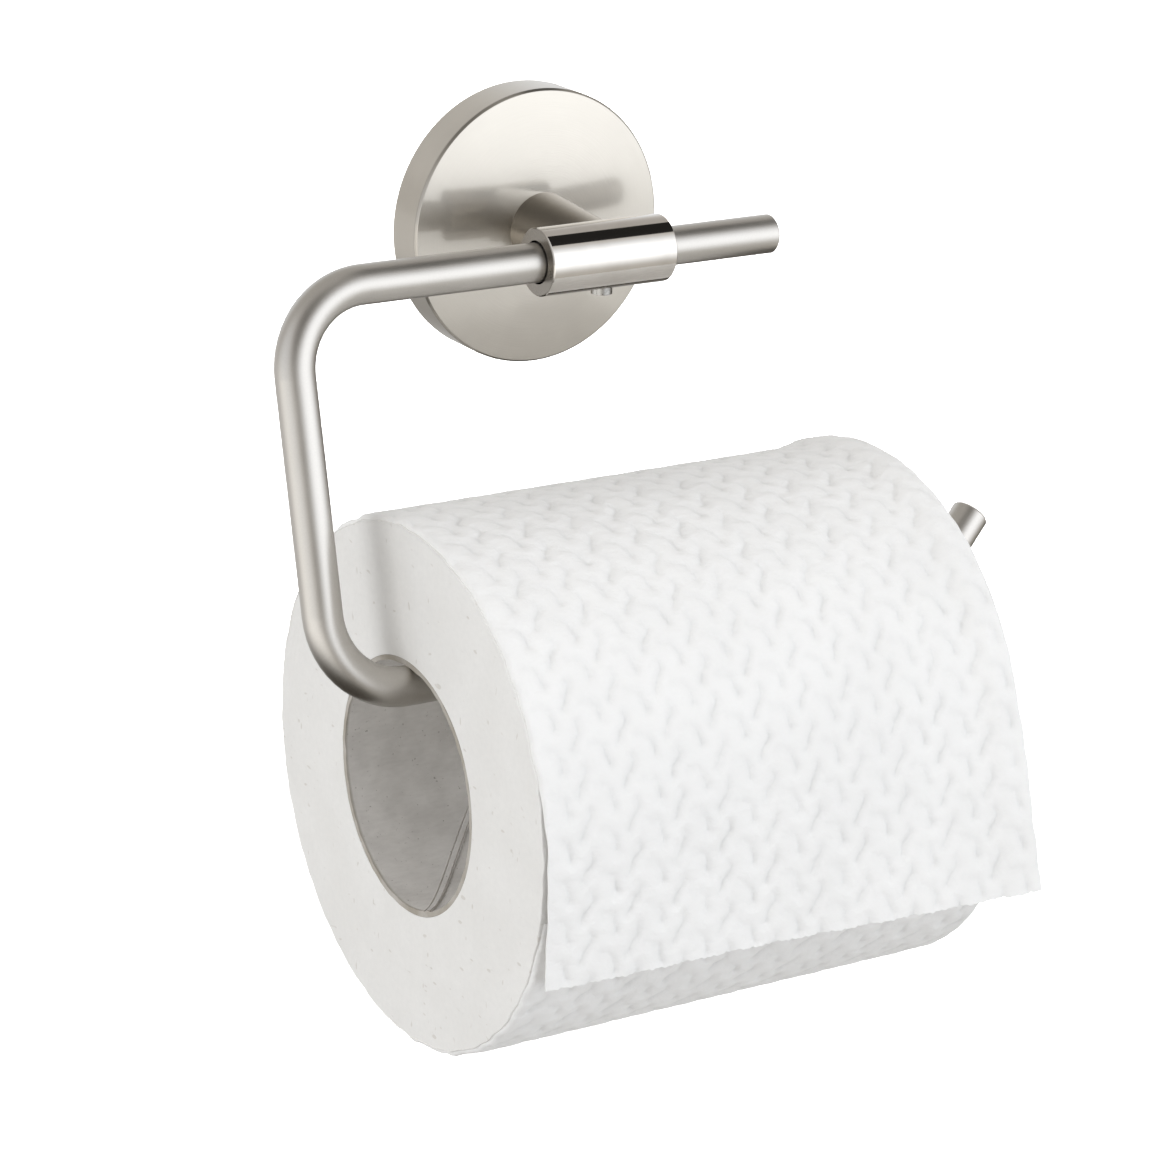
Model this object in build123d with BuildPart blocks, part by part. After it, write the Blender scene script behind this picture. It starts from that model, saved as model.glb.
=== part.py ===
from build123d import *
import os
from math import asin, cos, degrees, radians, sin, tan

# Wall-hung toilet paper holder with a roll on it, in millimetres.
# The wall is the plane Y = 0 and the holder stands out towards -Y, with +Z up.
# The origin is the middle of the flange's back, on the wall.

# Bar: one round bar bent twice square, with its free end turned up
bar_d = 7.4
bar_bend_r = 15.0
bar_left_x = -65.5
bar_stub_x = 37.2
bar_drop = 72.5
bar_tip_corner_x = 64.0
bar_tip_length = 19.2
bar_tip_angle = 45.0
bar_tip_bend_r = 13.0
bar_end_chamfer = 0.4
bar_groove_depth = 0.8
bar_standoff = 32.0

# Flange: the round cover against the wall
flange_d = 52.8
flange_depth = 8.5
flange_rise = 1.9
flange_wall = 2.4
flange_edge = 0.4

# Wall plate: the shallow cup that the flange slips over
plate_floor = 2.0
plate_rim_height = 5.5
plate_rim_wall = 2.2
plate_eye_r = 8.0
plate_hole_d = 5.0
plate_hole_spacing = 30.0
plate_groove_depth = 1.0
plate_groove_inset = 2.0

# Stem and the bolt that holds it from behind the flange
stem_base_d = 14.0
stem_end_d = 11.2
bolt_d = 5.0
bolt_head_d = 8.5
bolt_head_height = 2.8
bolt_socket = 3.0
bolt_socket_depth = 1.6
bolt_grip = 11.0
washer_d = 8.8
washer_t = 1.2
washer_slit = 0.8

# Sleeve: the tube that the bar turns in
sleeve_d = 12.7
sleeve_length = 26.7
sleeve_shift = 0.8
sleeve_edge = 0.25

# Grub screws: one in the flange's rim, one under the sleeve
grub_d = 4.0
grub_socket = 2.0
grub_socket_depth = 1.5
grub_dog_d = 2.4
grub_point_angle = 90.0
grub_sunk = 0.3
grub_proud = 1.0

# Roll: cardboard core, wound paper, and the outer turn with its hanging end
core_bore_d = 46.6
core_wall = 0.9
roll_width = 101.8
roll_left_x = -50.4
winding_d = 98.0
winding_edge = 0.8
sheet_t = 0.4
sheet_inset = 0.6
sheet_start_angle = 200.0
sheet_leave_angle = 160.0
sheet_flare_r = 300.0
tail_length = 38.0

# Clearances
turn_gap = 0.35
thread_gap = 0.05
seat_gap = 0.05
dog_gap = 0.15
plate_gap = 0.3
hang_gap = 0.1
paper_gap = 0.3
wall_gap = 0.4

# Worked out from the sizes above
bar_r = bar_d / 2
flange_r = flange_d / 2
flange_front = flange_depth + flange_rise
flange_inside = flange_depth - flange_wall
stem_base_r = stem_base_d / 2
plate_r = flange_r - flange_wall - plate_gap
plate_groove_y = -(plate_rim_height - plate_groove_inset)
point_angle = radians(grub_point_angle / 2)
plate_groove_half = plate_groove_depth * tan(point_angle)
sleeve_r = sleeve_d / 2
sleeve_bore_r = bar_r + turn_gap
core_r = core_bore_d / 2
core_outer_r = core_r + core_wall
winding_r = winding_d / 2
sheet_inner_r = winding_r + paper_gap
roll_outer_r = sheet_inner_r + sheet_t

# The roll leans on the wall, and that sets how far the bar swings out from straight down
bar_swing = asin((roll_outer_r + wall_gap - bar_standoff) / bar_drop)
bar_low_y = -bar_standoff - bar_drop * sin(bar_swing)
bar_low_z = -bar_drop * cos(bar_swing)
roll_hang = core_r - bar_r - hang_gap
roll_y = bar_low_y
roll_z = bar_low_z - roll_hang

sleeve_plane = Plane(origin=(0, -bar_standoff, 0), x_dir=(0, 1, 0), z_dir=(1, 0, 0))
bar_plane = Plane(
    origin=(0, -bar_standoff, 0),
    x_dir=(1, 0, 0),
    z_dir=(0, -cos(bar_swing), sin(bar_swing)),
)
os.makedirs("parts", exist_ok=True)


def write(piece, name):
    """Name a finished piece and write it to its own file."""
    piece.part.label = name
    export_step(piece.part, f"parts/{name}.step")


# Wall plate: a shallow cup against the wall, with two screw holes, an eye for the bolt's head
# and a groove round its rim for the flange's grub screw
with BuildPart() as wall_plate:
    with BuildSketch(Plane.XY):
        with BuildLine():
            Polyline(
                (plate_eye_r, 0),
                (plate_r, 0),
                (plate_r, plate_groove_y + plate_groove_half),
                (plate_r - plate_groove_depth, plate_groove_y),
                (plate_r, plate_groove_y - plate_groove_half),
                (plate_r, -plate_rim_height),
                (plate_r - plate_rim_wall, -plate_rim_height),
                (plate_r - plate_rim_wall, -plate_floor),
                (plate_eye_r, -plate_floor),
                close=True,
            )
        make_face()
    revolve(axis=Axis.Y)
    with Locations(Plane(origin=(0, -plate_floor, 0), x_dir=(1, 0, 0), z_dir=(0, -1, 0))):
        with GridLocations(plate_hole_spacing, 1, 2, 1):
            Hole(plate_hole_d / 2, plate_floor)
write(wall_plate, "wall_plate")

# Flange: a round cap with a domed face, a bevelled edge and a flat land for the stem.
# The dome's centre is on the flange's axis, as far back as its rim and its land need.
dome_back = (flange_r**2 - stem_base_r**2 - flange_rise**2) / (2 * flange_rise)
dome_r = (dome_back**2 + flange_r**2) ** 0.5
with BuildPart() as flange:
    with BuildSketch(Plane.XY) as flange_section:
        with BuildLine():
            RadiusArc((stem_base_r, -flange_front), (flange_r, -flange_depth), -dome_r)
            Polyline(
                (flange_r, -flange_depth),
                (flange_r, 0),
                (flange_r - flange_wall, 0),
                (flange_r - flange_wall, -flange_inside),
                (0, -flange_inside),
                (0, -flange_front),
                (stem_base_r, -flange_front),
            )
        make_face()
        rim_corners = flange_section.vertices().group_by(Axis.X)[-1]
        chamfer(rim_corners.sort_by(Axis.Y)[0], flange_edge)
    revolve(axis=Axis.Y)
    with Locations(Plane(origin=(0, -flange_front, 0), z_dir=(0, -1, 0))):
        Hole(bolt_d / 2 + thread_gap, flange_front - flange_inside)
    with Locations(Plane(origin=(0, plate_groove_y, -flange_r), z_dir=(0, 0, -1))):
        Hole(grub_d / 2 + thread_gap, flange_wall + plate_gap)
write(flange, "flange")

# Flange screw: a cone-point grub screw that draws the flange onto the plate's groove
cone_tip = plate_r - plate_groove_depth + seat_gap / sin(point_angle)
cone_height = grub_d / 2 / tan(point_angle)
flange_screw_end = flange_r - grub_sunk
with BuildPart() as flange_screw:
    with BuildSketch(Plane.XZ.offset(-plate_groove_y)):
        with BuildLine():
            Polyline(
                (0, -cone_tip),
                (grub_d / 2, -cone_tip - cone_height),
                (grub_d / 2, -flange_screw_end),
                (0, -flange_screw_end),
                close=True,
            )
        make_face()
    revolve(axis=Axis((0, plate_groove_y, 0), (0, 0, 1)))
    with BuildSketch(Plane(origin=(0, plate_groove_y, -flange_screw_end), z_dir=(0, 0, 1))):
        RegularPolygon(grub_socket / 2, 6, major_radius=False)
    extrude(amount=grub_socket_depth, mode=Mode.SUBTRACT)
write(flange_screw, "flange_screw")

# Stem: a round post that tapers from the flange's land to the sleeve, coped to sit on it
with BuildPart() as stem:
    with BuildSketch(Plane.XY):
        with BuildLine():
            Polyline(
                (0, -flange_front),
                (stem_base_r, -flange_front),
                (stem_end_d / 2, -bar_standoff),
                (0, -bar_standoff),
                close=True,
            )
        make_face()
    revolve(axis=Axis.Y)
    with BuildSketch(sleeve_plane):
        Circle(sleeve_r + seat_gap)
    extrude(amount=stem_base_d, both=True, mode=Mode.SUBTRACT)
    with Locations(Plane(origin=(0, -flange_front, 0), z_dir=(0, 1, 0))):
        Hole(bolt_d / 2 + thread_gap, bolt_grip + thread_gap)
write(stem, "stem")

# Lock washer: a split ring between the bolt's head and the inside of the flange
with BuildPart() as lock_washer:
    with BuildSketch(Plane(origin=(0, -flange_inside, 0), z_dir=(0, 1, 0))):
        Circle(washer_d / 2)
        Circle(bolt_d / 2 + thread_gap, mode=Mode.SUBTRACT)
        with Locations((0, washer_d / 2)):
            Rectangle(washer_slit, washer_d, mode=Mode.SUBTRACT)
    extrude(amount=washer_t)
write(lock_washer, "lock_washer")

# Stem bolt: passes through the flange from behind and into the stem
bolt_head_y = -flange_inside + washer_t
with BuildPart() as stem_bolt:
    with BuildSketch(Plane(origin=(0, bolt_head_y, 0), z_dir=(0, 1, 0))):
        Circle(bolt_head_d / 2)
    extrude(amount=bolt_head_height)
    with BuildSketch(Plane(origin=(0, bolt_head_y, 0), z_dir=(0, -1, 0))):
        Circle(bolt_d / 2)
    extrude(amount=washer_t + flange_front - flange_inside + bolt_grip)
    with BuildSketch(Plane(origin=(0, bolt_head_y + bolt_head_height, 0), z_dir=(0, -1, 0))):
        RegularPolygon(bolt_socket / 2, 6, major_radius=False)
    extrude(amount=bolt_socket_depth, mode=Mode.SUBTRACT)
write(stem_bolt, "stem_bolt")

# Sleeve: a plain tube across the stem's end, a little longer on the left, with a threaded hole underneath
with BuildPart() as sleeve:
    with BuildSketch(sleeve_plane.offset(-sleeve_shift)):
        Circle(sleeve_r)
        Circle(sleeve_bore_r, mode=Mode.SUBTRACT)
    extrude(amount=sleeve_length / 2, both=True)
    chamfer(sleeve.faces().filter_by(Axis.X).edges().group_by(SortBy.RADIUS)[-1], sleeve_edge)
    with Locations(Plane(origin=(0, -bar_standoff, -sleeve_r), z_dir=(0, 0, -1))):
        Hole(grub_d / 2 + thread_gap, sleeve_r)
write(sleeve, "sleeve")

# Sleeve screw: a dog-point grub screw whose point runs in the bar's groove
dog_end = bar_r - bar_groove_depth + dog_gap
thread_end = sleeve_bore_r + turn_gap
sleeve_screw_end = sleeve_r + grub_proud
with BuildPart() as sleeve_screw:
    with BuildSketch(Plane(origin=(0, -bar_standoff, -dog_end), z_dir=(0, 0, -1))):
        Circle(grub_dog_d / 2)
    extrude(amount=thread_end - dog_end)
    with BuildSketch(Plane(origin=(0, -bar_standoff, -thread_end), z_dir=(0, 0, -1))):
        Circle(grub_d / 2)
    extrude(amount=sleeve_screw_end - thread_end)
    with BuildSketch(Plane(origin=(0, -bar_standoff, -sleeve_screw_end), z_dir=(0, 0, 1))):
        RegularPolygon(grub_socket / 2, 6, major_radius=False)
    extrude(amount=grub_socket_depth, mode=Mode.SUBTRACT)
write(sleeve_screw, "sleeve_screw")

# Arm: the bar, straight through the sleeve, down the left side, back through the roll's core
# and up at its free end
tip_x = bar_tip_corner_x + bar_tip_length * cos(radians(bar_tip_angle))
tip_z = -bar_drop + bar_tip_length * sin(radians(bar_tip_angle))
with BuildPart() as arm:
    with BuildLine(bar_plane) as bar_path:
        FilletPolyline(
            (bar_stub_x, 0),
            (bar_left_x, 0),
            (bar_left_x, -bar_drop),
            (bar_tip_corner_x, -bar_drop),
            (tip_x, tip_z),
            radius=[bar_bend_r, bar_bend_r, bar_tip_bend_r],
        )
    with BuildSketch(Plane(origin=bar_path.line @ 0, z_dir=bar_path.line % 0)):
        Circle(bar_r)
    sweep()
    chamfer(arm.faces().filter_by(GeomType.PLANE).edges(), bar_end_chamfer)
    with BuildSketch(sleeve_plane):
        Circle(bar_d)
        Circle(bar_r - bar_groove_depth, mode=Mode.SUBTRACT)
    extrude(amount=grub_dog_d / 2 + turn_gap, both=True, mode=Mode.SUBTRACT)
write(arm, "arm")

# Core tube: spiral-wound board, hanging on the bar
roll_plane = Plane(origin=(roll_left_x, roll_y, roll_z), x_dir=(0, 1, 0), z_dir=(1, 0, 0))
with BuildPart() as core_tube:
    with BuildSketch(roll_plane):
        Circle(core_outer_r)
        Circle(core_r, mode=Mode.SUBTRACT)
    extrude(amount=roll_width)
write(core_tube, "core_tube")

# Paper winding: the wound paper inside the outer turn, with soft edges
with BuildPart() as paper_winding:
    with BuildSketch(roll_plane):
        Circle(winding_r)
        Circle(core_outer_r + seat_gap, mode=Mode.SUBTRACT)
    extrude(amount=roll_width)
    rims = paper_winding.edges().filter_by(GeomType.CIRCLE).group_by(SortBy.RADIUS)[-1]
    chamfer(rims, winding_edge)
write(paper_winding, "paper_winding")

# Loose sheet: the outer turn of paper. It starts behind its own hanging end, goes round under,
# behind and over the roll, and leaves it at the front. Its left edge drops straight down, and its
# right edge stands out from the roll.
sheet_mid_r = sheet_inner_r + sheet_t / 2
sheet_left_x = roll_left_x + sheet_inset
sheet_width = roll_width - 2 * sheet_inset
leave = radians(sheet_leave_angle)
leave_point = Vector(cos(leave), sin(leave)) * sheet_mid_r
tail_bend = radians(180 - sheet_leave_angle) * sheet_mid_r
tail_hang = tail_length - tail_bend


def sheet_plane(x):
    """The plane across the roll at x, centred on the roll's axis."""
    return Plane(origin=(x, roll_y, roll_z), x_dir=(0, 1, 0), z_dir=(1, 0, 0))


def tail_section(x, bend_r):
    """The tail's section at x: it curves on from the roll with radius bend_r, then runs straight."""
    centre = leave_point * (1 - bend_r / sheet_mid_r)
    with BuildSketch(sheet_plane(x)) as section:
        with BuildLine():
            bend = CenterArc(centre, bend_r, sheet_leave_angle, degrees(tail_bend / bend_r))
            Line(bend @ 1, bend @ 1 + (bend % 1) * tail_hang)
        trace(line_width=sheet_t)
    return section.sketch


with BuildPart() as loose_sheet:
    with BuildSketch(sheet_plane(sheet_left_x)):
        with BuildLine():
            CenterArc((0, 0), sheet_mid_r, sheet_start_angle, 360 + sheet_leave_angle - sheet_start_angle)
        trace(line_width=sheet_t)
    extrude(amount=sheet_width)
    left_edge = tail_section(sheet_left_x, sheet_mid_r)
    right_edge = tail_section(sheet_left_x + sheet_width, sheet_flare_r)
    loft([left_edge, right_edge], ruled=True)
write(loose_sheet, "loose_sheet")
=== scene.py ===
from math import cos, pi, radians, sin, tau

import bpy
import numpy as np
from mathutils import Matrix, Vector


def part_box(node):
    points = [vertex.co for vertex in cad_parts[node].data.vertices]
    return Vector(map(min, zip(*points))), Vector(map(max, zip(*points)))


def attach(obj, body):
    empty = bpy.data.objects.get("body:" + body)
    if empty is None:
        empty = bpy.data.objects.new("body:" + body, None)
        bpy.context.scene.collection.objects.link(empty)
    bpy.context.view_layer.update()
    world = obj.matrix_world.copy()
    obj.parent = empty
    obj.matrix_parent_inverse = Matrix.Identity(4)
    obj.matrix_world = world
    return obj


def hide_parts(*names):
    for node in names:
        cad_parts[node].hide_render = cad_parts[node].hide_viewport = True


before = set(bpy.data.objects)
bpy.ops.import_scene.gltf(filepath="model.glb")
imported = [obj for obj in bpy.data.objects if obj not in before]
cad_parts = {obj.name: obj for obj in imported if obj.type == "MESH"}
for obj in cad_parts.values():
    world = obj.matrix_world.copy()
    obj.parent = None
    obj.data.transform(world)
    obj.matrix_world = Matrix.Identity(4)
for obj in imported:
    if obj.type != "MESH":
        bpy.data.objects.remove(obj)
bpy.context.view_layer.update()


# Wall plate: the shallow pressed cup that two screws hold to the wall, and that the flange slips over.
# Zinc-plated steel, dull and slightly blue, with the faint crystals of the plating.
class Shade:
    """One output socket of a finish. Sums, differences and products add Math nodes."""

    def __init__(self, tree, socket):
        self.tree = tree
        self.socket = socket

    def node(self, kind, settings, inputs, output=0):
        """One output of a new node: its settings are made first, then its sockets are set or linked."""
        made = self.tree.nodes.new(kind)
        for key, value in settings.items():
            setattr(made, key, value)
        feed(made, inputs)
        return Shade(self.tree, made.outputs[output])

    def maths(self, operation, first, second):
        return self.node("ShaderNodeMath", {"operation": operation}, {0: first, 1: second})

    def __add__(self, other):
        return self.maths("ADD", self, other)

    def __sub__(self, other):
        return self.maths("SUBTRACT", self, other)

    def __rsub__(self, other):
        return self.maths("SUBTRACT", other, self)

    def __mul__(self, other):
        return self.maths("MULTIPLY", self, other)

    __radd__ = __add__
    __rmul__ = __mul__


def feed(node, inputs):
    """Set a node's sockets to values, or link them to shades."""
    for key, value in inputs.items():
        if isinstance(value, Shade):
            node.id_data.links.new(value.socket, node.inputs[key])
        else:
            node.inputs[key].default_value = value


def new_finish(name, sockets):
    """A new material with its shader's constant sockets set, its shader, and the piece's own coordinates."""
    material = bpy.data.materials.new(name)
    material.use_nodes = True
    tree = material.node_tree
    shader = tree.nodes["Principled BSDF"]
    feed(shader, sockets)
    place = Shade(tree, tree.nodes.new("ShaderNodeTexCoord").outputs["Object"])
    return material, shader, place


def noise(place, scale, detail=2.0):
    """Cloudy noise from 0 to 1, with so many lumps to the metre."""
    return place.node("ShaderNodeTexNoise", {}, {"Vector": place, "Scale": scale, "Detail": detail})


def ramp(value, low, high, start=0.0, end=1.0):
    """A smooth change from start to end while the value goes from low to high."""
    sockets = {"Value": value, "From Min": low, "From Max": high, "To Min": start, "To Max": end}
    return value.node("ShaderNodeMapRange", {"interpolation_type": "SMOOTHSTEP"}, sockets)


def mix(factor, first, second):
    """A colour between two colours."""
    return factor.node("ShaderNodeMix", {"data_type": "RGBA"}, {0: factor, 6: first, 7: second}, output=2)


def bump(height, depth):
    """A normal for relief of the given depth, in metres."""
    return height.node("ShaderNodeBump", {}, {"Distance": depth, "Height": height})


def dress(node, material):
    """Give a CAD piece its finish."""
    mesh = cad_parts[node].data
    mesh.materials.clear()
    mesh.materials.append(material)


zinc_grey = (0.42, 0.44, 0.46, 1)
zinc_bright = (0.6, 0.61, 0.62, 1)
crystal_scale = 420.0
stain_scale = 160.0
plating_scale = 2600.0
plating_grain = 0.00002
zinc, shader, place = new_finish("zinc_plating", {"Metallic": 1.0})
crystals = place.node("ShaderNodeTexVoronoi", {}, {"Vector": place, "Scale": crystal_scale}, output=1)
crystals = crystals.node("ShaderNodeSeparateColor", {}, {0: crystals})
stains = ramp(noise(place, stain_scale, 4.0), 0.35, 0.7)
feed(
    shader,
    {
        "Base Color": mix(0.6 * crystals + 0.4 * stains, zinc_grey, zinc_bright),
        "Roughness": 0.34 + 0.16 * stains,
        "Normal": bump(noise(place, plating_scale, 3.0), plating_grain),
    },
)
dress("wall_plate", zinc)
dress("lock_washer", zinc)


# Screws: the bolt that holds the stem from behind the flange, and two grub screws with hexagon sockets,
# one in the flange's underside and one under the sleeve. Turned steel with a light film of oil.
screw_dark = (0.28, 0.27, 0.255, 1)
screw_light = (0.42, 0.41, 0.39, 1)
tool_scale = 5200.0
oil_scale = 900.0
tool_depth = 0.00001
screw_steel, shader, place = new_finish("screw_steel", {"Metallic": 1.0})
tool_marks = noise(place, tool_scale, 2.0)
oil = ramp(noise(place, oil_scale, 3.0), 0.4, 0.65)
feed(
    shader,
    {
        "Base Color": mix(oil, screw_dark, screw_light),
        "Roughness": 0.18 + 0.16 * oil,
        "Normal": bump(tool_marks, tool_depth),
    },
)
for screw in ("stem_bolt", "flange_screw", "sleeve_screw"):
    dress(screw, screw_steel)


# Flange: the round cover that hides the wall plate. Steel with a satin nickel finish, its domed face
# brushed in circles round the stem, which spreads the light into soft rays.
face_dark = (0.47, 0.44, 0.392, 1)
face_light = (0.6, 0.563, 0.503, 1)
# Colour of the painted shade along the edge of the flange's face.
painted_edge_shade = (0.2, 0.19, 0.175, 1)
bevel_width = 0.0006
bevel_reach = 0.0028
bevel_skin = 0.0001
handling_scale = 70.0
brush_lines = 5200.0
brush_run = 3.0
brush_depth = 0.00002
satin_face, shader, place = new_finish("satin_face", {"Metallic": 1.0})
clear = place.tree.nodes.new("ShaderNodeBsdfPrincipled")
across = place.node("ShaderNodeVectorMath", {"operation": "MULTIPLY"}, {0: place, 1: (1, 0, 1)})
spoke = across.node("ShaderNodeVectorMath", {"operation": "NORMALIZE"}, {0: across})
spoke = spoke.node("ShaderNodeVectorMath", {"operation": "SCALE"}, {0: spoke, "Scale": brush_run})
radius = across.node("ShaderNodeVectorMath", {"operation": "LENGTH"}, {0: across}, output=1)
circle = radius.node("ShaderNodeCombineXYZ", {}, {1: radius * brush_lines})
circle = circle.node("ShaderNodeVectorMath", {"operation": "ADD"}, {0: spoke, 1: circle})
brushing = noise(circle, 1.0, 3.0)
handling = ramp(noise(place, handling_scale, 3.0), 0.35, 0.7)
flange_low, flange_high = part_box("flange")
flange_r = (flange_high.z - flange_low.z) / 2
forward = place.node("ShaderNodeSeparateXYZ", {}, {0: place}, output=1)
bevel_front = flange_low.y + bevel_reach
# A thin ring round the face's edge is painted darker. This is a painted dark reflection: it stands in for
# the dark line the rounded edge mirrors, and it dims the bevel's highlight.
edge_shade = ramp(radius, flange_r - bevel_width, flange_r - bevel_skin)
edge_shade = edge_shade * ramp(forward, bevel_front, bevel_front - bevel_width)
nickel = mix(0.5 * brushing + 0.3 * handling, face_dark, face_light)
nickel = mix(0.45 * edge_shade, nickel, painted_edge_shade)
feed(
    shader,
    {
        "Base Color": nickel,
        "Roughness": 0.3 + 0.05 * handling + 0.06 * brushing,
        "Normal": bump(brushing, brush_depth),
    },
)
clear_share = 0.2 + 0.15 * brushing
feed(clear, {"Metallic": 1.0, "Base Color": nickel, "Roughness": 0.09 + 0.04 * handling})
shaders = [Shade(place.tree, layer.outputs[0]) for layer in (shader, clear)]
both = place.node("ShaderNodeMixShader", {}, {0: clear_share, 1: shaders[0], 2: shaders[1]})
feed(place.tree.nodes["Material Output"], {"Surface": both})
dress("flange", satin_face)


# Stem: the short tapered post that carries the sleeve out from the wall. Turned steel with the same
# satin nickel, so its lines go round it.
stem_dark = (0.36, 0.335, 0.297, 1)
stem_light = (0.44, 0.412, 0.372, 1)
turning_scale = (60, 4200, 60)
turned_depth = 0.000006
satin_stem, shader, place = new_finish("satin_stem", {"Metallic": 1.0})
turning = place.node("ShaderNodeVectorMath", {"operation": "MULTIPLY"}, {0: place, 1: turning_scale})
turning = noise(turning, 1.0, 3.0)
feed(
    shader,
    {
        "Base Color": mix(turning, stem_dark, stem_light),
        "Roughness": 0.2 + 0.08 * turning,
        "Normal": bump(turning, turned_depth),
    },
)
dress("stem", satin_stem)


# Sleeve: the plain tube across the stem's end, in which the bar turns. Polished like a mirror, with
# faint polishing marks along it.
polish_clear = (0.59, 0.56, 0.52, 1)
polish_hazy = (0.54, 0.51, 0.47, 1)
# Colour of the painted shade and dark reflection on the sleeve's end faces.
painted_end_shade = (0.3, 0.28, 0.252, 1)
cut_skin = 0.0002
polish_scale = (90, 2600, 2600)
haze_scale = 130.0
polish_depth = 0.0000006
polish, shader, place = new_finish("polish", {"Metallic": 1.0})
marks = place.node("ShaderNodeVectorMath", {"operation": "MULTIPLY"}, {0: place, 1: polish_scale})
marks = noise(marks, 1.0, 2.0)
haze = ramp(noise(place, haze_scale, 3.0), 0.4, 0.75)
sleeve_low, sleeve_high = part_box("sleeve")
sides = place.node("ShaderNodeSeparateXYZ", {}, {0: place})
end_distance = sides.maths("ABSOLUTE", sides - (sleeve_low.x + sleeve_high.x) / 2, 0.0)
sleeve_half = (sleeve_high.x - sleeve_low.x) / 2
# The turned end faces are rougher, which is real. They are also painted darker: painted shade and reflection
# for the dark ring at each end.
turned_end_and_shade = ramp(end_distance, sleeve_half - cut_skin, sleeve_half - 0.25 * cut_skin)
steel = mix(haze, polish_clear, polish_hazy)
feed(
    shader,
    {
        "Base Color": mix(turned_end_and_shade, steel, painted_end_shade),
        "Roughness": 0.05 + 0.05 * haze + 0.02 * marks + 0.2 * turned_end_and_shade,
        "Normal": bump(marks, polish_depth),
    },
)
dress("sleeve", polish)


# Arm: one round bar bent twice square, with its free end turned up. Satin nickel all over, finer and
# more even than the flange, with a faint grain left by the belt.
nickel_dark = (0.462, 0.44, 0.407, 1)
nickel_light = (0.6, 0.576, 0.539, 1)
grain_scale = 3400.0
wear_scale = 45.0
grain_depth = 0.000008
satin_bar, shader, place = new_finish("satin_bar", {"Metallic": 1.0})
grain = noise(place, grain_scale, 3.0)
wear = ramp(noise(place, wear_scale, 3.0), 0.35, 0.7)
feed(
    shader,
    {
        "Base Color": mix(0.5 * grain + 0.3 * wear, nickel_dark, nickel_light),
        "Roughness": 0.32 + 0.05 * wear + 0.05 * grain,
        "Normal": bump(grain, grain_depth),
    },
)
dress("arm", satin_bar)


# Core tube: grey board wound in a spiral and glued, with one seam that shows inside. Its cut ends are
# browner than its walls and slightly ragged.
def skin(name, rings, closed=True):
    """A smooth mesh over rings of points: round each ring, and from ring to ring.

    Where the rings don't close on each other, the first and the last are filled across as a flat band.
    """
    count, size = rings.shape[:2]
    index = np.arange(count * size).reshape(count, size)
    ahead = np.roll(index, -1, axis=0)
    quads = np.stack([index, np.roll(index, -1, axis=1), np.roll(ahead, -1, axis=1), ahead], axis=-1)
    if closed:
        quads = quads.reshape(-1, 4)
    else:
        quads = quads[:-1].reshape(-1, 4)
        half = np.arange(size // 2 - 1)
        near, far = half, size - 1 - half
        first = np.stack([near, far, far - 1, near + 1], axis=-1)
        last = np.stack([near + 1, far - 1, far, near], axis=-1) + (count - 1) * size
        quads = np.concatenate([quads, first, last])
    mesh = bpy.data.meshes.new(name)
    mesh.from_pydata(rings.reshape(-1, 3).tolist(), [], quads.tolist())
    mesh.polygons.foreach_set("use_smooth", np.ones(len(quads), dtype=bool))
    mesh.set_sharp_from_angle(angle=radians(50))
    piece = bpy.data.objects.new(name, mesh)
    bpy.context.scene.collection.objects.link(piece)
    return piece


def ripple(*waves):
    """An even mix of sine waves, from -1 to 1."""
    return sum(np.sin(wave) for wave in waves) / len(waves)


def drift(first, second, waves):
    """A slow change over a surface, from -1 to 1, of waves given by their rates in two directions."""
    return ripple(*(rate * first + other_rate * second for rate, other_rate in waves))


core_low, core_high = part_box("core_tube")
roll_left = core_low.x
roll_width = core_high.x - core_low.x
roll_y = (core_low.y + core_high.y) / 2
roll_z = (core_low.z + core_high.z) / 2
core_outer_r = (core_high.z - core_low.z) / 2
core_wall = 0.0009
core_r = core_outer_r - core_wall
seam_slope = 1.195
seam_start = radians(-114.6)
seam_step = 0.0003
seam_fade = 0.9
seam_gap = 0.00025
seam_lap = 0.0021
seam_edges = (0.12, 0.96)
seam_edge_half = 0.06
board_rough = 0.00012
board_waves = ((3, 90), (7, -140))
ragged_waves = (9, 23, 41)
cut_reach = 0.0008
cut_full = 0.0001
length_steps = 60
round_steps = 180
seam_clear = 1.4
board_dark = (0.6, 0.58, 0.552, 1)
board_light = (0.84, 0.82, 0.79, 1)
board_speck = (0.2, 0.18, 0.155, 1)
board_cut = (0.36, 0.325, 0.27, 1)
fibre_scale = (500, 1300, 1300)
cloud_scale = 140.0
speck_scale = 1500.0
fibre_depth = 0.00006

lengthwise = np.linspace(0, 1, length_steps)
rim = np.array([0.12, 0.5, 0.88])
section_x = np.concatenate([lengthwise, 0 * rim + 1, lengthwise[::-1], 0 * rim])
section_wall = np.concatenate([0 * lengthwise, rim, 1 + 0 * lengthwise, rim[::-1]])
seam_turn = seam_lap / core_r
near_seam = np.array([0, 0.08, 0.16, 0.24, 0.84, 0.92, 1.0, 1.08, 1.16]) * seam_turn
round_seam = np.concatenate([near_seam, np.linspace(seam_clear * seam_turn, tau, round_steps)])[:, None]
along = section_x[None, :] * roll_width
angle = seam_start + along * seam_slope / core_r + round_seam
lip = seam_step * np.exp(-round_seam / seam_fade)
for seam_edge in seam_edges:
    lip = lip - seam_gap * (np.abs(round_seam / seam_turn - seam_edge) < seam_edge_half)
inner_r = core_r - lip + board_rough * drift(angle, along, board_waves)
wall = section_wall[None, :]
radius = inner_r * (1 - wall) + core_outer_r * wall
ragged = board_rough * (ripple(*(wave * angle for wave in ragged_waves)) - 1)
ragged = ragged * np.where(section_x < 0.5, -1, 1)
at_rim = (section_x == 0) | (section_x == 1)
core_points = np.stack(
    [
        roll_left + along + ragged * at_rim,
        roll_y + radius * np.cos(angle),
        roll_z + radius * np.sin(angle),
    ],
    axis=-1,
)
core_board = skin("core_board", core_points)

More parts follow.
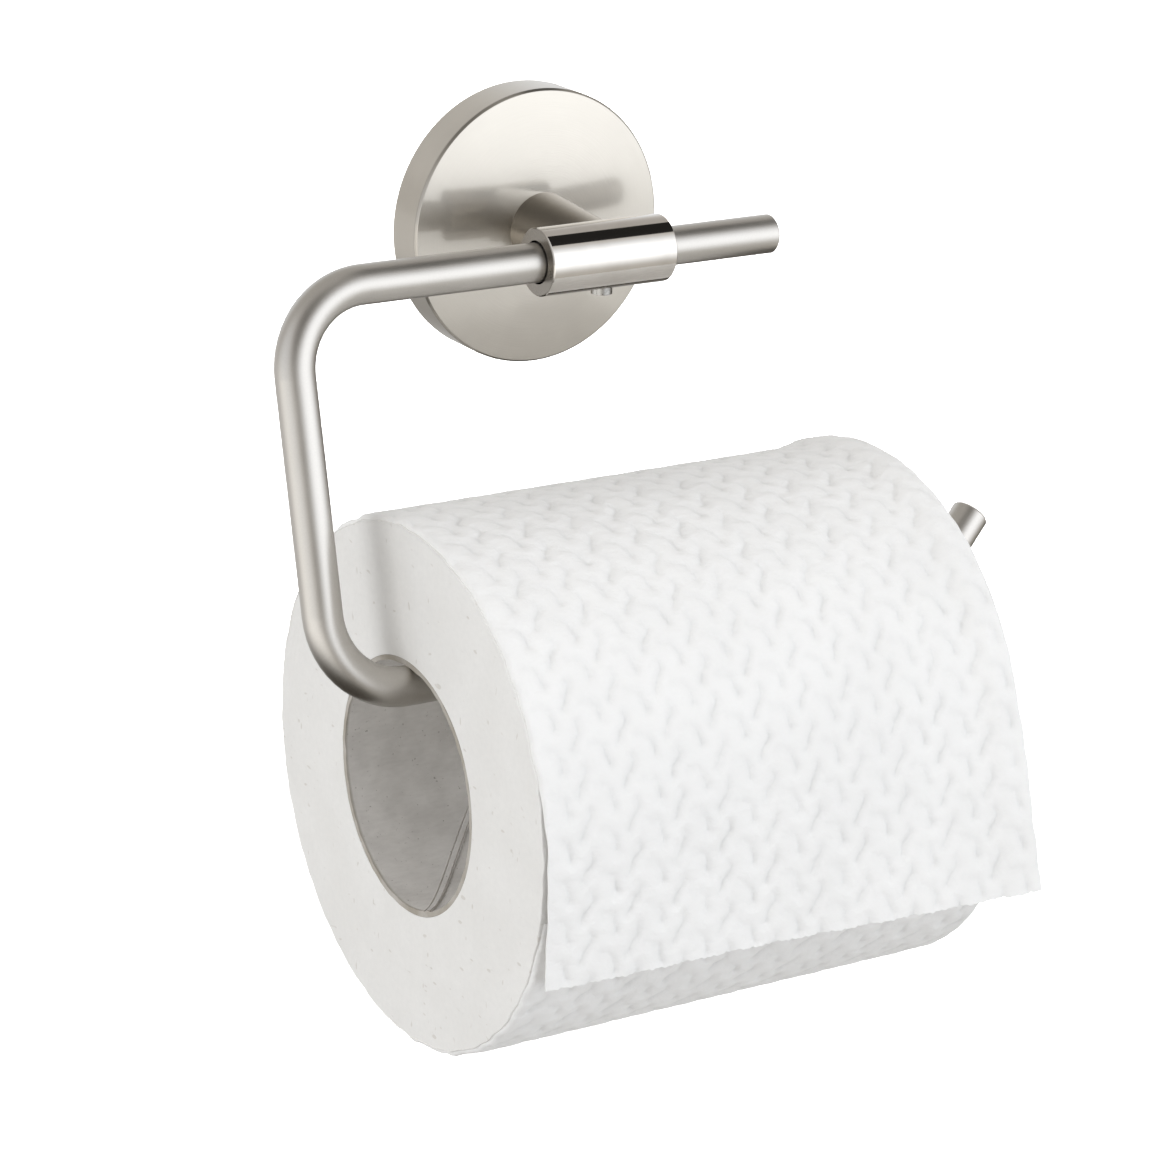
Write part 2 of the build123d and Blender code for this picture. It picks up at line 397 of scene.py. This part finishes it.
grey_board, shader, place = new_finish("grey_board", {"Roughness": 0.9, "Specular IOR Level": 0.25})
sides = place.node("ShaderNodeSeparateXYZ", {}, {0: place})
fibres = place.node("ShaderNodeVectorMath", {"operation": "MULTIPLY"}, {0: place, 1: fibre_scale})
fibres = noise(fibres, 1.0, 4.0)
clouds = ramp(noise(place, cloud_scale, 4.0), 0.3, 0.7)
specks = ramp(noise(place, speck_scale, 2.0), 0.68, 0.76)
end_distance = sides.maths("ABSOLUTE", sides - (roll_left + roll_width / 2), 0.0)
cut_end = ramp(end_distance, roll_width / 2 - cut_reach, roll_width / 2 - cut_full)
board = mix(0.6 * fibres + 0.4 * clouds, board_dark, board_light)
board = mix(0.55 * specks, board, board_speck)
feed(
    shader,
    {
        "Base Color": mix(cut_end * (0.5 + 0.45 * clouds), board, board_cut),
        "Normal": bump(fibres, fibre_depth),
    },
)
core_board.data.materials.append(grey_board)
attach(core_board, "roll")
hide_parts("core_tube")


# Wound paper: some hundreds of turns of soft tissue round the core. Its ends are cut with a saw, so
# they are nearly flat, with faint rings, and its outside carries the same embossing as the sheet.
emboss_across = 0.00943
emboss_along = 0.0076
emboss_lean = -0.000135
emboss_x = -0.02246
emboss_s = 0.1086
hook = 0.001 * np.array([(1.0, -2.5), (1.25, -1.7), (1.2, -0.9), (0.6, 0.0), (-0.15, 0.85), (-0.9, 2.5)])
dash = 0.001 * np.array([(2.6, 1.4), (4.2, 1.85), (5.3, 2.65), (5.75, 4.0), (6.0, 5.65)])
hook_press = np.array([0.5, 0.7, 0.85, 0.9, 1.0, 0.9])
dash_press = np.array([0.25, 0.35, 0.5, 0.75, 1.0])
groove_half = 0.00046
puff_half = 0.0017
groove_depth = 0.0003
puff_height = 0.0005
wander = 0.00028
wander_x_waves = ((410, 730), (1130, -890), (300, 1900))
wander_s_waves = ((520, -610), (1270, 940), (1700, 200))
firm_waves = ((230, -170), (370, 290), (640, -510))
firm_mean = 0.78
firm_swing = 0.22
shade_half = 0.001
shade_share = 0.5


def stroke_away(x, s, stroke, press):
    """How far each point is from the nearest stroke of the pattern, and how hard that stroke presses there.
    """
    middle = (stroke.min(axis=0) + stroke.max(axis=0)) / 2
    row = np.round((s - emboss_s - middle[1]) / emboss_along)
    nearest = np.full(np.broadcast(x, s).shape, 1.0)
    press_and_groove_shade = np.zeros(nearest.shape)
    for line in (row - 1, row, row + 1):
        ds = s - emboss_s - line * emboss_along
        off = x - emboss_x - line * emboss_lean - middle[0]
        du = (off + emboss_across / 2) % emboss_across - emboss_across / 2 + middle[0]
        for (u0, s0), (u1, s1), hard0, hard1 in zip(stroke, stroke[1:], press, press[1:]):
            run_u, run_s = u1 - u0, s1 - s0
            part = ((du - u0) * run_u + (ds - s0) * run_s) / (run_u**2 + run_s**2)
            part = np.clip(part, 0, 1)
            away = np.hypot(du - u0 - part * run_u, ds - s0 - part * run_s)
            press_and_groove_shade = np.where(away < nearest, hard0 + part * (hard1 - hard0), press_and_groove_shade)
            nearest = np.minimum(away, nearest)
    return nearest, press_and_groove_shade


def embossing(x, s):
    """The embossed paper's height above its deepest mark, and its marks as painted shade: a dark core in
    each groove and a soft shade round it.

    x goes across the roll and s goes round it.
    """
    height = np.full(np.broadcast(x, s).shape, puff_height + groove_depth)
    marks = np.zeros(height.shape)
    off_x = wander * drift(x, s, wander_x_waves)
    off_s = wander * drift(x, s, wander_s_waves)
    firm = firm_mean + firm_swing * drift(x, s, firm_waves)
    for stroke, press in ((hook, hook_press), (dash, dash_press)):
        away, press_and_groove_shade = stroke_away(x + off_x, s + off_s, stroke, press)
        press_and_groove_shade = press_and_groove_shade * firm
        # The mark sets each groove's depth. Together with the wider soft shade, it also becomes painted
        # shade, darkening the paper in and round the groove.
        mark = press_and_groove_shade * np.exp(-((away / groove_half) ** 2))
        height -= press_and_groove_shade * puff_height * np.exp(-((away / puff_half) ** 2)) + groove_depth * mark
        shade = shade_share * np.sqrt(press_and_groove_shade) * np.exp(-((away / shade_half) ** 2))
        marks = np.maximum(marks, np.maximum(mark, shade))
    return np.maximum(height, 0), marks


def smooth(value, low, high):
    """A smooth change from 0 to 1 while the value goes from low to high."""
    part = np.clip((value - low) / (high - low), 0, 1)
    return part * part * (3 - 2 * part)


winding_low, winding_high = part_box("paper_winding")
winding_swell = 0.0002
winding_r = (winding_high.z - winding_low.z) / 2 + winding_swell
core_gap = 0.00005
rim_soft = 0.0008
face_corner = 0.0002
face_wave = 0.0001
face_rings = 0.00001
ring_pitch = 0.0016
ring_waver = 1.5
ring_lobes = 3
rim_fade = 0.003
rim_bare = 0.3
face_waves = ((2, 130), (3, -260), (5, 90))
face_steps = 56
wall_steps = 150
corner_steps = 6
bore_steps = 4
rim_uneven = 0.0005
rim_run = 0.004
rim_depth = 0.006
rim_waves = (24, 40, 60)


def rim_drop(from_end, turn):
    """How far the soft paper sinks in near its cut ends, unevenly round the roll."""
    uneven = 0.5 + 0.5 * ripple(*(wave * turn + start for start, wave in enumerate(rim_waves)))
    return rim_uneven * uneven * (1 - smooth(from_end, 0, rim_run))


sheet_start = radians(-170)
sheet_leave = radians(160)
window_margin = 0.1
window_steps = 90
rest_steps = 150
window = np.linspace(sheet_leave - tau - window_margin, sheet_start + window_margin, window_steps)
rest_of_turn = np.linspace(window[-1], window[0] + tau, rest_steps)[1:-1]
turn = np.concatenate([window, rest_of_turn])[:, None]
face_r = np.linspace(core_outer_r + core_gap, winding_r - face_corner, face_steps)
corner = np.linspace(0, pi / 2, corner_steps)[1:-1]
corner_r = winding_r - face_corner + face_corner * np.sin(corner)
corner_x = face_corner * (1 - np.cos(corner))
wall_x = np.linspace(face_corner, roll_width - face_corner, wall_steps)
bore_x = np.linspace(roll_width, 0, bore_steps)[1:-1]
section_r = np.concatenate(
    [face_r, corner_r, np.full(wall_steps, winding_r), corner_r[::-1], face_r[::-1], 0 * bore_x + face_r[0]]
)
section_x = np.concatenate(
    [0 * face_r, corner_x, wall_x, roll_width - corner_x[::-1], 0 * face_r + roll_width, bore_x]
)
radius = section_r[None, :] + 0 * turn
at_face = ((section_x == 0) | (section_x == roll_width)) * np.where(section_x < roll_width / 2, 1, -1)
rings = np.sin(tau * radius / ring_pitch + turn + ring_waver * np.sin(ring_lobes * turn))
waves = drift(turn, radius, face_waves)
inward = at_face[None, :] * (face_rings * (1 + rings) + face_wave * (1 + waves))
winding_x = roll_left + section_x[None, :] + inward
from_end = np.minimum(section_x, roll_width - section_x)[None, :]
relief = embossing(winding_x, winding_r * turn)[0] - puff_height - groove_depth
faded = np.clip(from_end / rim_fade - rim_bare, 0, 1) * (section_r == winding_r)[None, :]
radius = radius + relief * faded
radius = radius - rim_drop(from_end, turn) * smooth(section_r, winding_r - rim_depth, winding_r)[None, :]
winding_points = np.stack(
    [winding_x, roll_y + radius * np.cos(turn), roll_z + radius * np.sin(turn)], axis=-1
)
wound_paper = skin("wound_paper", winding_points)

ends_dull = (0.86, 0.849, 0.822, 1)
ends_bright = (0.9, 0.891, 0.867, 1)
ends_pulp = (0.72, 0.715, 0.70, 1)
ends_fleck = (0.47, 0.42, 0.35, 1)
pulp_scale = 900.0
ends_tint_scale = 60.0
long_fleck_scale = (420, 300, 760)
tall_fleck_scale = (420, 700, 320)
pulp_depth = 0.0001
tissue_ends, shader, place = new_finish("tissue_ends", {"Roughness": 0.95, "Specular IOR Level": 0.2})
pulp = noise(place, pulp_scale, 4.0)
tint = ramp(noise(place, ends_tint_scale, 3.0), 0.3, 0.7)
long_flecks = place.node("ShaderNodeVectorMath", {"operation": "MULTIPLY"}, {0: place, 1: long_fleck_scale})
tall_flecks = place.node("ShaderNodeVectorMath", {"operation": "MULTIPLY"}, {0: place, 1: tall_fleck_scale})
flecks = ramp(noise(long_flecks, 1.0, 1.0), 0.71, 0.78) + ramp(noise(tall_flecks, 1.0, 1.0), 0.72, 0.79)
paper = mix(tint, ends_dull, ends_bright)
paper = mix(0.35 * pulp, paper, ends_pulp)
feed(
    shader,
    {
        "Base Color": mix(0.32 * flecks, paper, ends_fleck),
        "Normal": bump(pulp, pulp_depth),
    },
)
wound_paper.data.materials.append(tissue_ends)
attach(wound_paper, "roll")
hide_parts("paper_winding")


# Outer sheet: the last turn of three-ply tissue, embossed, with its free end hanging at the front. It
# is torn off at a perforation. Its left edge drops straight down, and its right edge stands out.
sheet_t = 0.0003
sheet_thin = 0.0001
edge_gap = 0.00022
edge_wave = 0.00015
sheet_left = roll_left + edge_gap
sheet_width = roll_width - 2 * edge_gap
torn_depth = 0.0003
lie_gap = 0.00002
mid_lift = 0.0003
sheet_r = winding_r + lie_gap
sheet_mid_r = winding_r + mid_lift
flare_r = 0.3
tail_length = 0.038
tail_bend = (pi - sheet_leave) * sheet_mid_r
turn_length = (sheet_leave - sheet_start) * sheet_mid_r
sheet_length = turn_length + tail_length
loose_lift = 0.0012
loose_from, loose_full = 0.905, 0.965
loose_start, loose_end = radians(20), radians(80)
start_taper = 0.012
hang_start = 0.01
loose_kept = 0.5
rim_relief = 0.4
right_ease = 0.6
flare_power = 1.25
sway_height = 0.0005
sway_waves = ((70, 33), (110, -61))
torn_waves = (700, 2300, 4700)
edge_waves = (310, 530, 910)
columns = 280
rows = 860


def tail_path(t, bend_r):
    """Places and outward normals, in the plane across the roll, at t along the hanging end."""
    swing = sheet_leave + np.minimum(t, tail_bend) / bend_r
    hang = np.maximum(t - tail_bend, 0)
    centre = sheet_r - bend_r
    y = centre * np.cos(sheet_leave) + bend_r * np.cos(swing) - hang * np.sin(swing)
    z = centre * np.sin(sheet_leave) + bend_r * np.sin(swing) + hang * np.cos(swing)
    return y, z, np.cos(swing), np.sin(swing)


s = np.linspace(0, sheet_length, rows)[:, None]
near_edge = np.array([0, 0.06, 0.15, 0.3, 0.5, 0.75]) * rim_soft / sheet_width
u = np.linspace(rim_soft / sheet_width, 1 - rim_soft / sheet_width, columns)
u = np.concatenate([near_edge, u, 1 - near_edge[::-1]])[None, :]
turned = sheet_start + np.minimum(s, turn_length) / sheet_mid_r
torn = torn_depth * (1 + ripple(*(wave * u * sheet_width for wave in torn_waves)))
t = np.maximum(s - turn_length, 0) * (1 - torn / tail_length)
flare = u**flare_power
left_y, left_z, left_ny, left_nz = tail_path(t, sheet_r)
right_y, right_z, right_ny, right_nz = tail_path(t, flare_r)
sheet_y = left_y * (1 - flare) + right_y * flare
sheet_z = left_z * (1 - flare) + right_z * flare
normal_y = left_ny * (1 - flare) + right_ny * flare
normal_z = left_nz * (1 - flare) + right_nz * flare
on_roll = s <= turn_length
sheet_y = np.where(on_roll, sheet_r * np.cos(turned), sheet_y)
sheet_z = np.where(on_roll, sheet_r * np.sin(turned), sheet_z)
normal_y = np.where(on_roll, np.cos(turned), normal_y)
normal_z = np.where(on_roll, np.sin(turned), normal_z)
inset = edge_wave * (1 + ripple(*(wave * s + start for start, wave in enumerate(edge_waves))))
sheet_x = sheet_left + u * sheet_width + inset * (1 - 2 * u)
round_s = sheet_start * sheet_mid_r + s
relief, marks = embossing(sheet_x, round_s)
from_end = np.minimum(u, 1 - u) * sheet_width
started = smooth(s, -0.1 * start_taper, start_taper)
near_rim = (rim_relief + (1 - rim_relief) * smooth(from_end, 0, rim_fade)) * started
full = (puff_height + groove_depth) * started
relief = sheet_thin + full - (puff_height + groove_depth - relief) * near_rim
marks = marks * near_rim
hanging = smooth(t, 0, hang_start)
turned_in = np.maximum(rim_soft - from_end, 0)
relief = relief - (rim_soft - np.sqrt(rim_soft**2 - turned_in**2)) * (1 - hanging)
pressed_in = rim_drop(from_end, turned) * (1 - right_ease * u) * (1 - hanging)
slack = loose_lift * smooth(u, loose_from, loose_full) * smooth(turned, loose_start, loose_end)
slack = slack * (1 - loose_kept * hanging)
sway = sway_height * hanging * drift(sheet_x, s, sway_waves)


def sheet_face(lift):
    """One face of the sheet, lifted along its normals."""
    return np.stack(
        [sheet_x, roll_y + sheet_y + normal_y * lift, roll_z + sheet_z + normal_z * lift], axis=-1
    )


outer_face = sheet_face(slack + sway + relief - pressed_in)
under = np.minimum(hanging * (relief - sheet_t), relief - sheet_thin)
inner_face = sheet_face(slack + sway + under - pressed_in)
sheet_rings = np.concatenate([outer_face, inner_face[:, ::-1]], axis=1)
outer_sheet = skin("outer_sheet", sheet_rings[:, ::-1], closed=False)
sheet_groove_shade = np.concatenate([marks, marks[:, ::-1]], axis=1)[:, ::-1]
# The marks ride on the sheet as a point attribute that paints shade into its emboss grooves.
press_and_groove_shade = outer_sheet.data.attributes.new("press_and_groove_shade", "FLOAT", "POINT")
press_and_groove_shade.data.foreach_set("value", sheet_groove_shade.ravel())

tissue_dull = (0.895, 0.889, 0.874, 1)
tissue_bright = (0.94, 0.934, 0.919, 1)
# Colour of the painted shade in the emboss grooves.
painted_groove_shade = (0.66, 0.66, 0.652, 1)
crepe_scale = (700, 2400, 2400)
tint_scale = 55.0
patch_scale = 520.0
pucker_scale = 480.0
pucker_depth = 0.00028
tissue, shader, place = new_finish("tissue", {"Roughness": 0.95, "Specular IOR Level": 0.2})
crepe = place.node("ShaderNodeVectorMath", {"operation": "MULTIPLY"}, {0: place, 1: crepe_scale})
crepe = noise(crepe, 1.0, 3.0)
tint = ramp(noise(place, tint_scale, 3.0), 0.3, 0.7)
# The attribute darkens the paper along the emboss marks, in irregular patches: painted shade in the grooves.
press_and_groove_shade = place.node("ShaderNodeAttribute", {"attribute_name": "press_and_groove_shade"}, {}, output=2)
press_and_groove_shade = press_and_groove_shade * ramp(noise(place, patch_scale, 2.0), 0.3, 0.65, 0.55, 1.15)
paper = mix(0.6 * tint + 0.4 * crepe, tissue_dull, tissue_bright)
feed(
    shader,
    {
        "Base Color": mix(0.55 * press_and_groove_shade, paper, painted_groove_shade),
        "Normal": bump(0.2 * crepe + noise(place, pucker_scale, 2.0), pucker_depth),
    },
)
outer_sheet.data.materials.append(tissue)
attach(outer_sheet, "outer_turn")
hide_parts("loose_sheet")


# Stage: a plain pale floor well below the holder, soft lights round it, a pale studio that the metal
# mirrors, with a dark slit over the sleeve, and the camera at the photograph's angle.
floor_z = -0.9
floor_half = 9.0
floor_dull = (0.66, 0.653, 0.642, 1)
floor_bright = (0.675, 0.668, 0.657, 1)
cloud_on_floor = 0.6
lamp_tint = (0.98, 0.99, 1)
floor_mesh = bpy.data.meshes.new("floor")
corners = [(x * floor_half, y * floor_half, floor_z) for x, y in ((-1, -1), (1, -1), (1, 1), (-1, 1))]
floor_mesh.from_pydata(corners, [], [(0, 1, 2, 3)])
floor = bpy.data.objects.new("floor", floor_mesh)
bpy.context.scene.collection.objects.link(floor)
pale, shader, place = new_finish("pale_floor", {"Roughness": 0.9, "Specular IOR Level": 0.0})
pale_tone = mix(ramp(noise(place, cloud_on_floor, 1.0), 0.3, 0.7), floor_dull, floor_bright)
feed(shader, {"Base Color": pale_tone})
floor_mesh.materials.append(pale)
floor.visible_glossy = False


def soft_box(name, place, aim, size, radiance, spread=180):
    """A rectangular soft light that faces aim. It doesn't show, and the metal doesn't mirror it."""
    light = bpy.data.lights.new(name, "AREA")
    light.shape = "RECTANGLE"
    light.size, light.size_y = size
    light.energy = radiance * pi * size[0] * size[1]
    light.spread = radians(spread)
    light.color = lamp_tint
    lamp = bpy.data.objects.new(name, light)
    lamp.location = place
    lamp.rotation_euler = (Vector(aim) - Vector(place)).to_track_quat("-Z", "Y").to_euler()
    lamp.visible_camera = False
    lamp.visible_glossy = False
    bpy.context.scene.collection.objects.link(lamp)


holder_middle = (0, -0.05, -0.05)
wash_x, wash_y, wash_z = 2.4, 3.7, 1.6
soft_box("side_key", place=(-1.5, -0.4, 0.6), aim=holder_middle, size=(0.6, 0.62), radiance=5.4)
soft_box("right_key", place=(1.3, -0.9, 0.8), aim=holder_middle, size=(0.4, 0.4), radiance=2.6)
soft_box("front_fill", place=(0.8, -1.2, 1.3), aim=holder_middle, size=(1.4, 1.0), radiance=0.63)
soft_box(
    "back_wash",
    place=(wash_x, wash_y, wash_z),
    aim=(wash_x, wash_y, floor_z),
    size=(4.2, 5.4),
    radiance=3.4,
    spread=75,
)

world = bpy.data.worlds.new("studio")
world.use_nodes = True
bpy.context.scene.world = world
tree = world.node_tree
direction = Shade(tree, tree.nodes.new("ShaderNodeTexCoord").outputs["Generated"])


def toward(azimuth, elevation, outer, inner):
    """How near a direction is to one seen from the holder, from 0 at the outer angle to 1 at the inner."""
    turned, raised = radians(azimuth), radians(elevation)
    aim = (cos(raised) * sin(turned), -cos(raised) * cos(turned), sin(raised))
    dot = {"operation": "DOT_PRODUCT"}
    near = direction.node("ShaderNodeVectorMath", dot, {0: direction, 1: aim}, output=1)
    return ramp(near, cos(radians(outer)), cos(radians(inner)))


facing = direction.node("ShaderNodeSeparateXYZ", {}, {0: direction}, output=1)
up = direction.node("ShaderNodeSeparateXYZ", {}, {0: direction}, output=2)
sideways = direction.node("ShaderNodeSeparateXYZ", {}, {0: direction}, output=0)
slit = ramp(facing, -0.40, -0.37) * ramp(facing, 0.22, 0.2) * ramp(up, 0.3, 0.5)
slit = slit * ramp(sideways, 0.3, 0.37) * ramp(sideways, 0.7, 0.63)
front_glow = toward(36, 8, 62, 12) * ramp(up, 0.95, 0.3)
left_glow = toward(-88, 8, 54, 10)
back_glow = toward(155, 12, 65, 20) * ramp(up, 0.75, 0.2)
right_shade = toward(85, 0, 40, 10)
upper_shade = toward(-22, 40, 45, 15)
glow = 0.62 + 1.58 * front_glow + 0.55 * left_glow + 0.55 * back_glow
glow = glow - 0.3 * right_shade - 0.38 * upper_shade
glow = glow * (1 - 0.96 * slit)
dim_tone = (1, 0.965, 0.92, 1)
bright_tone = (0.97, 1.005, 1.06, 1)
tone = mix(ramp(glow, 0.5, 1.4), dim_tone, bright_tone)
light = tone.node("ShaderNodeVectorMath", {"operation": "SCALE"}, {0: tone, "Scale": glow})

front_ground = (0.42, 0.382, 0.33, 1)
back_ground = (0.88, 0.87, 0.86, 1)
left_panel = (1.9, 1.89, 1.86, 1)
straight_down = (0.07, 0.061, 0.05, 1)
front_panel = (0.72, 0.70, 0.66, 1)
right_gap = (0.12, 0.11, 0.095, 1)
ground = mix(ramp(facing, -0.2, 0.6), front_ground, back_ground)
ground = mix(toward(-78, -14, 62, 15), ground, left_panel)
ground = mix(ramp(up, -0.8, -0.3), straight_down, ground)
ground = mix(toward(36, -24, 48, 18), ground, front_panel)
ground = mix(toward(122, -19, 32, 10), ground, right_gap)
above = ramp(up, -0.1, -0.02)
above = above + toward(36, -2, 60, 25) * (ramp(up, -0.6, 0.05) - above)
feed(tree.nodes["Background"], {"Color": mix(above, ground, light)})

view_right = Vector((0.85374, -0.52007, 0.02563))
view_up = Vector((0.14871, 0.29070, 0.94519))
view_back = -Vector((0.49901, 0.80313, -0.32552))
camera_place = (-0.37142, -0.62679, 0.17684)
camera_data = bpy.data.cameras.new("camera")
camera_data.sensor_width = 36.0
camera_data.lens = 120.27
camera = bpy.data.objects.new("camera", camera_data)
turned_view = Matrix((view_right, view_up, view_back)).transposed().to_4x4()
camera.matrix_world = Matrix.Translation(camera_place) @ turned_view
bpy.context.scene.collection.objects.link(camera)
bpy.context.scene.camera = camera
bpy.context.scene.view_settings.view_transform = "Standard"
